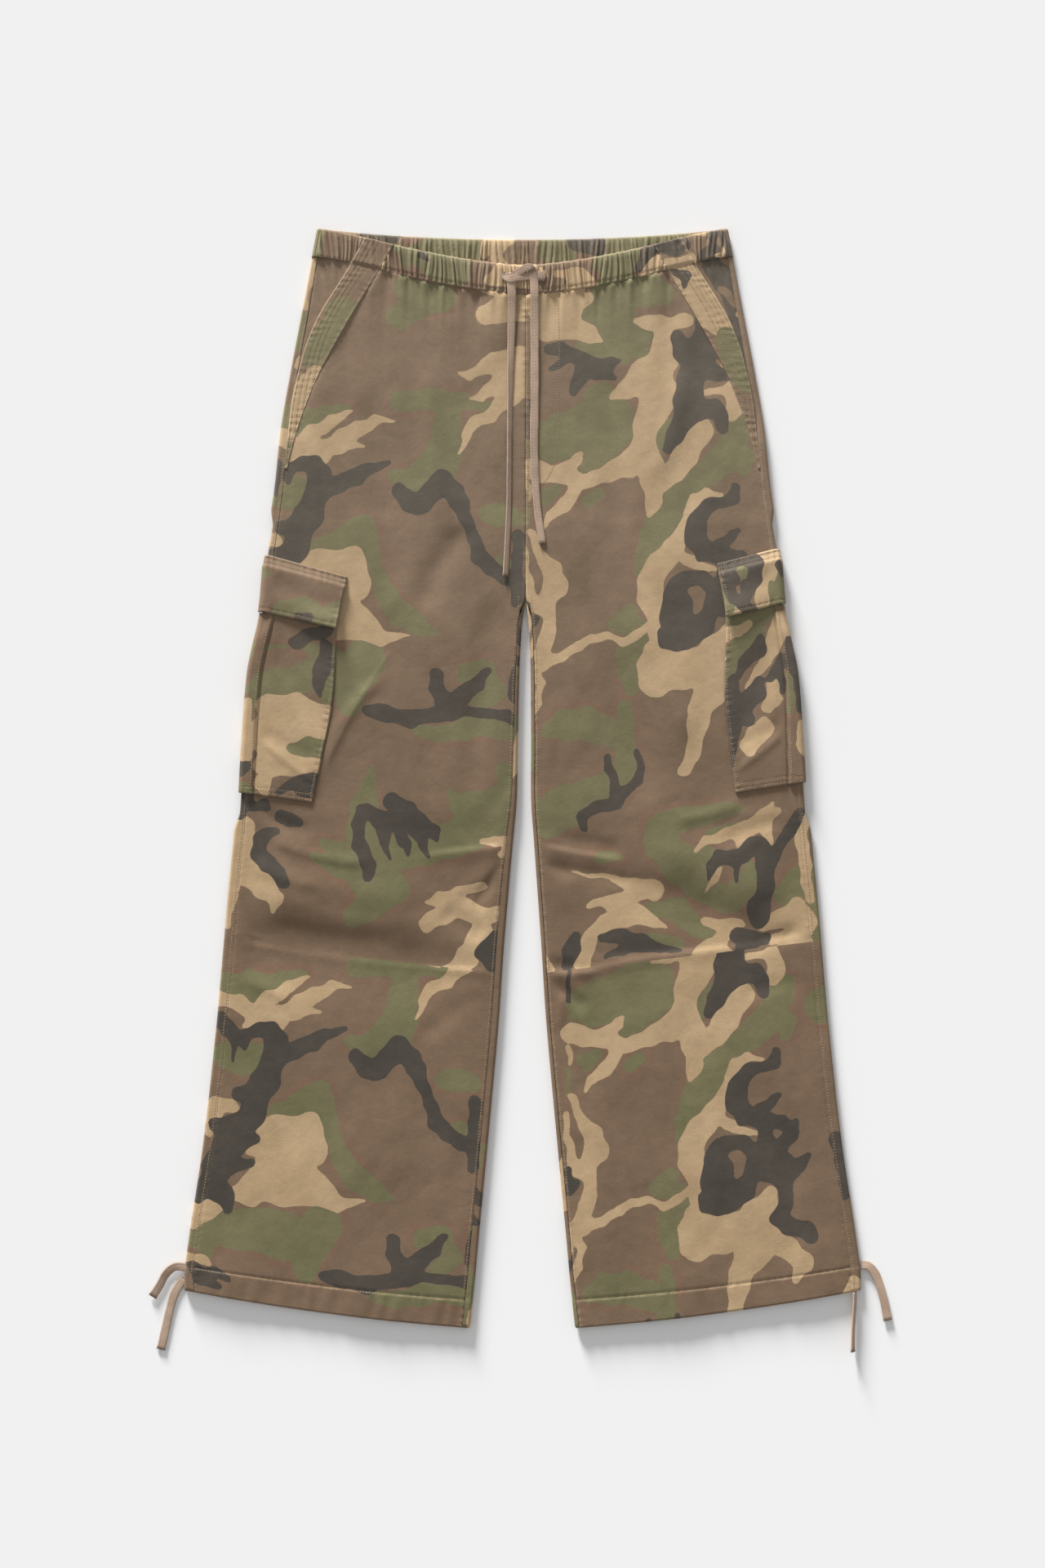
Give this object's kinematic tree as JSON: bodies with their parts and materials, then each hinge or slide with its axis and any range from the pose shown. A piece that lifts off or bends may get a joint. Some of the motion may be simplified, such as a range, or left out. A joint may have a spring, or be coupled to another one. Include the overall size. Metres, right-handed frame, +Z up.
{
  "type": "cargo trousers",
  "caption": "Wide-leg camouflage cotton trousers laid flat, front up, with a gathered drawstring waist, slanted hand pockets, flapped cargo pockets and drawstring hems.",
  "frame": {"origin": "middle of the garment's length and width, on the surface it lies on", "axes": "+Y from the hems to the waist, +X to the wearer's left, +Z up from the surface, out of the front"},
  "size_m": [0.7186, 1.0829, 0.0123],
  "materials": {
    "camo_cotton": "washed printed cotton poplin with a soft woodland camouflage print, matt",
    "drawstring_tape": "flat woven cotton tape, taupe, matt"
  },
  "bodies": {
    "root": {"front_leg_right": "camo_cotton", "back_leg_right": "camo_cotton", "pocket_band_right": "camo_cotton", "pocket_facing_right": "camo_cotton", "cargo_pocket_right": "camo_cotton", "cargo_flap_right": "camo_cotton", "front_leg_left": "camo_cotton", "back_leg_left": "camo_cotton", "pocket_band_left": "camo_cotton", "pocket_facing_left": "camo_cotton", "cargo_pocket_left": "camo_cotton", "cargo_flap_left": "camo_cotton", "waist_casing_front": "camo_cotton", "waist_casing_back": "camo_cotton", "waist_cord_right": "drawstring_tape", "waist_cord_left": "drawstring_tape", "hem_cord_right_short": "drawstring_tape", "hem_cord_right_long": "drawstring_tape", "hem_cord_left_wide": "drawstring_tape", "hem_cord_left_edge": "drawstring_tape"}
  },
  "joints": []
}
